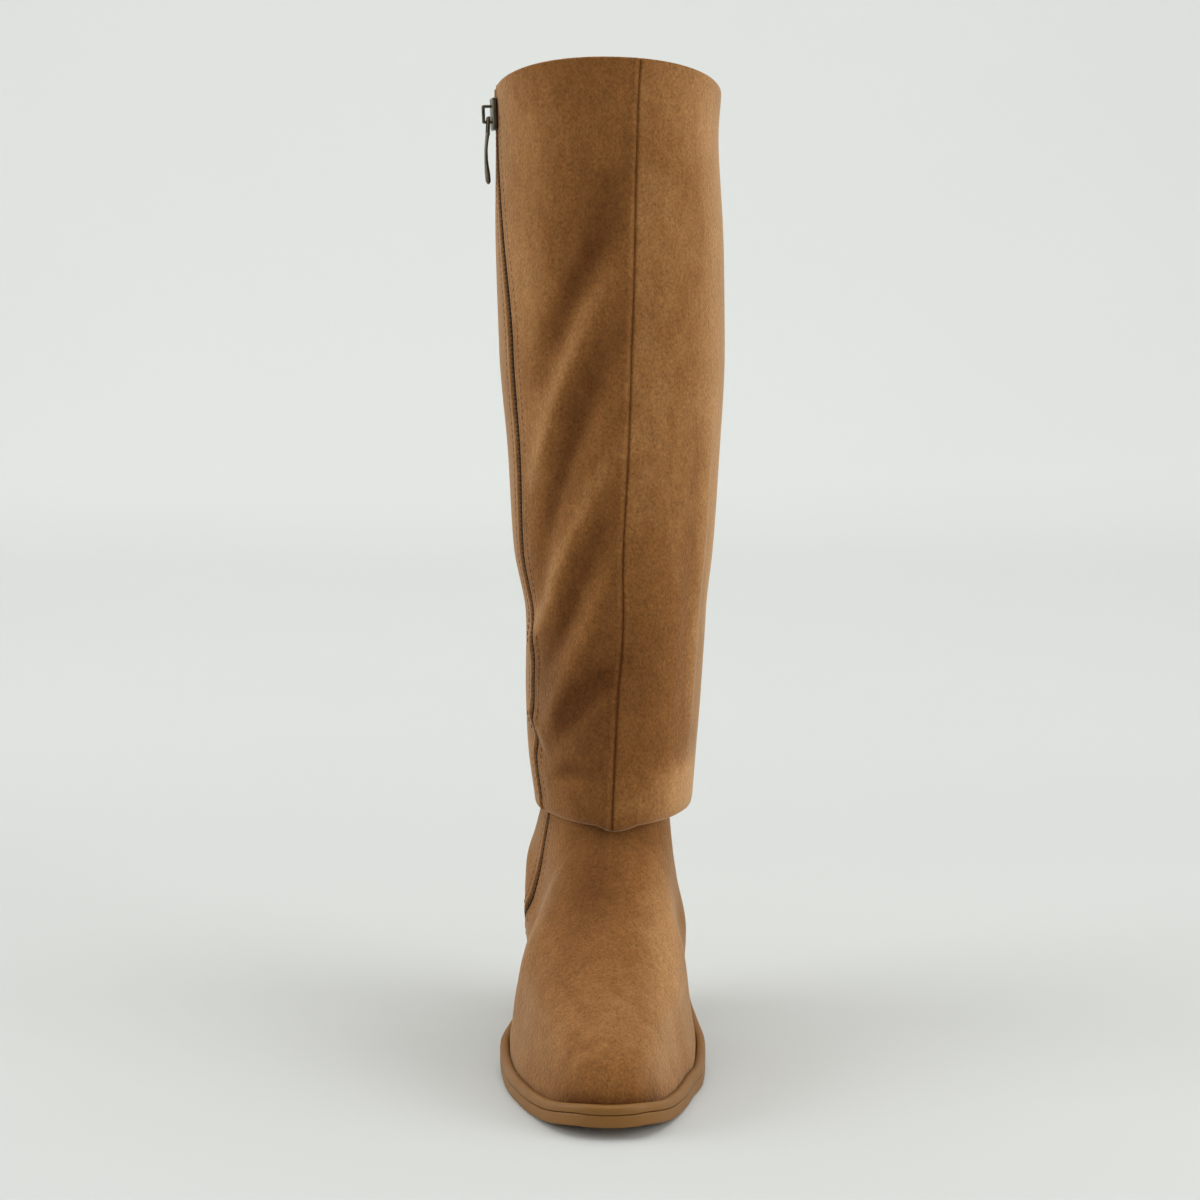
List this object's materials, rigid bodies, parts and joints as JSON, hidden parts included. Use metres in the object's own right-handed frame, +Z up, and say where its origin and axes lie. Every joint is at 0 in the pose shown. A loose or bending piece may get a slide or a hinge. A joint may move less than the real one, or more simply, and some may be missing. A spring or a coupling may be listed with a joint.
{
  "type": "tall slouch boot",
  "caption": "Tall suede boot for a left foot: straight leg folding over the ankle, inner side zip with a hanging pull, soft square toe, welted rubber sole and block heel.",
  "frame": {"origin": "the middle of the heel's tread, on the floor", "axes": "+Z is up along the leg, -Y points to the toe, +X is the outer side of the foot and -X the inner side with the zip"},
  "size_m": [0.115, 0.264, 0.4564],
  "materials": {
    "suede": "brushed nap, matte",
    "lining": "matte",
    "rubber": "satin",
    "zip_tape": "woven tape with fine teeth",
    "bronze": "antique, half polished"
  },
  "bodies": {
    "boot": {"shaft": "suede", "upper": "suede", "insole": "lining", "welt": "rubber", "outsole": "rubber", "heel": "rubber", "heel_lift": "rubber", "zip_chain_leg": "zip_tape", "zip_chain_foot": "zip_tape", "zip_slider": "bronze"},
    "zip_pull": {"zip_pull": "bronze"}
  },
  "joints": [
    {"name": "pull_swing", "type": "hinge", "parent": "boot", "child": "zip_pull", "pos_m": [-0.05435, -0.01553, 0.43272], "axis": [-0.1224, 0.9925, 0], "range_deg": [-3, 165]}
  ]
}
